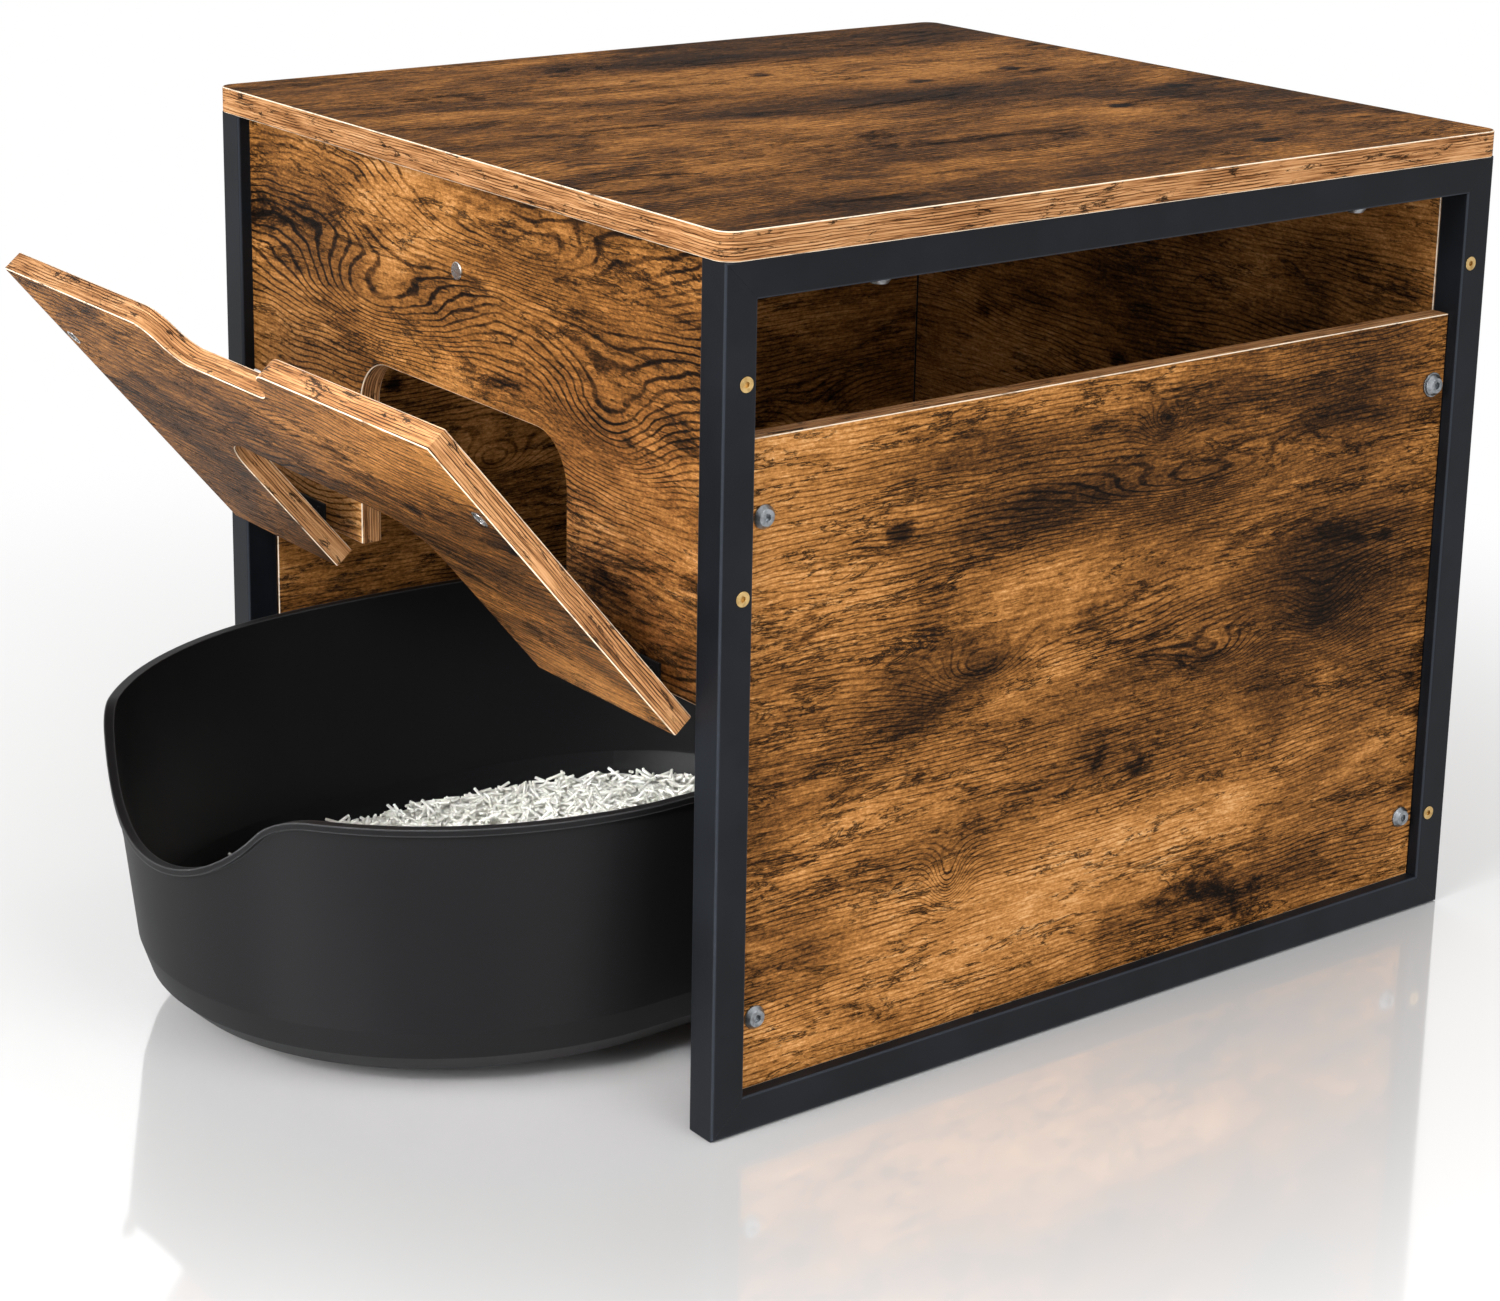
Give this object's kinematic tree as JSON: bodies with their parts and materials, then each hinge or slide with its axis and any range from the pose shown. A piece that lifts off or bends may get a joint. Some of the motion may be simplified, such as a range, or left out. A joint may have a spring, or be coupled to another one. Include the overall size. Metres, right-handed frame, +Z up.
{
  "type": "cat litter box cabinet",
  "caption": "Low side-table cabinet of boards in welded square-tube frames, with side vents, a flip-up front flap with a pet opening, and a slide-in litter pan.",
  "frame": {"origin": "centre of the footprint of the whole part in its modelled pose, on the floor", "axes": "+Z up, the flap door and the drawn-out pan face -Y, +X is the right side seen from behind"},
  "size_m": [0.506, 0.7312, 0.472],
  "materials": {
    "board": "dark rustic board with knots and lighter worn edges",
    "frame": "satin black powder coat",
    "zinc": "zinc plated",
    "bracket": "zinc plated sheet",
    "brass_screw": "yellow passivated",
    "hinge": "satin black",
    "magnet_cup": "bright plated",
    "magnet": "dark sintered magnet",
    "pan": "charcoal moulded plastic",
    "litter": "matte pellets"
  },
  "bodies": {
    "cabinet": {"top_board": "board", "right_front_post": "frame", "right_rear_post": "frame", "right_top_rail": "frame", "right_bottom_rail": "frame", "right_side_board": "board", "right_panel_bolts": "zinc", "left_front_post": "frame", "left_rear_post": "frame", "left_top_rail": "frame", "left_bottom_rail": "frame", "left_side_board": "board", "left_panel_bolts": "zinc", "front_board": "board", "rear_board": "board", "panel_bolt_washers": "zinc", "panel_bolt_nuts": "zinc", "corner_brackets": "bracket", "door_strike_brackets": "bracket", "bracket_screws": "zinc", "post_screws": "brass_screw", "top_board_bolts": "zinc", "fixed_hinge_leaves": "hinge", "fixed_hinge_screws": "hinge", "hinge_pins": "hinge", "hold_open_magnet": "magnet_cup"},
    "pan": {"litter_pan": "pan", "litter_fill": "litter"},
    "door": {"door_board": "board", "door_hinge_leaves": "hinge", "door_hinge_screws": "hinge", "door_magnet_cups": "magnet_cup", "door_magnets": "magnet", "door_hold_catch": "magnet_cup"}
  },
  "joints": [
    {"name": "pan_slide", "type": "slide", "parent": "cabinet", "child": "pan", "axis": [0, 1, 0], "range_m": [-0.059, 0.207]},
    {"name": "door_hinge", "type": "hinge", "parent": "cabinet", "child": "door", "pos_m": [0, -0.1766, 0.2246], "axis": [1, 0, 0], "range_deg": [-40, 140]}
  ],
  "couplings": [
    {"joint": "door_hinge", "follows": "pan_slide", "rad_per_m": 11.804}
  ]
}
